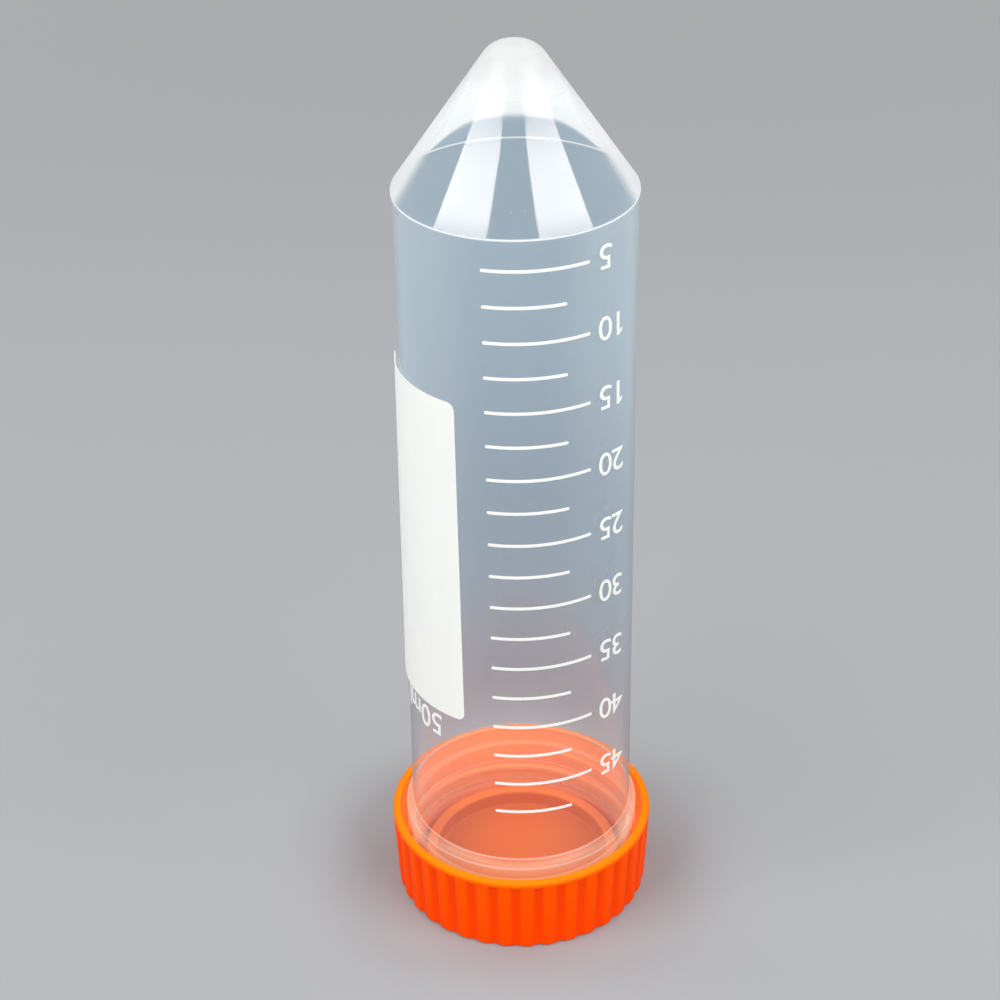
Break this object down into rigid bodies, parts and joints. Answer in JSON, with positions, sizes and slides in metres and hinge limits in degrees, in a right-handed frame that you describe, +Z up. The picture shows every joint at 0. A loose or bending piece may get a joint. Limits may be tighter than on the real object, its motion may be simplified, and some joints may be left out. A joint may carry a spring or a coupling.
{
  "type": "50 ml conical tube",
  "caption": "Clear-milky plastic sample tube with a blunt conical end, a printed scale and a ribbed orange screw cap, standing on its cap.",
  "frame": {"origin": "centre of the cap's flat closed end, the face that the tube stands on", "axes": "+Z up along the tube's axis, from the cap to the cone's tip; the printed scale faces -Y"},
  "size_m": [0.0344, 0.0344, 0.1183],
  "materials": {
    "cap_plastic": "satin orange moulded plastic",
    "tube_plastic": "clear-milky translucent polypropylene, polished outside"
  },
  "bodies": {
    "cap": {"screw_cap": "cap_plastic"},
    "tube_body": {"tube": "tube_plastic"}
  },
  "joints": [
    {"name": "cap_draw_off", "type": "slide", "parent": "cap", "child": "tube_body", "axis": [0, 0, 1], "range_m": [0, 0.025]}
  ]
}
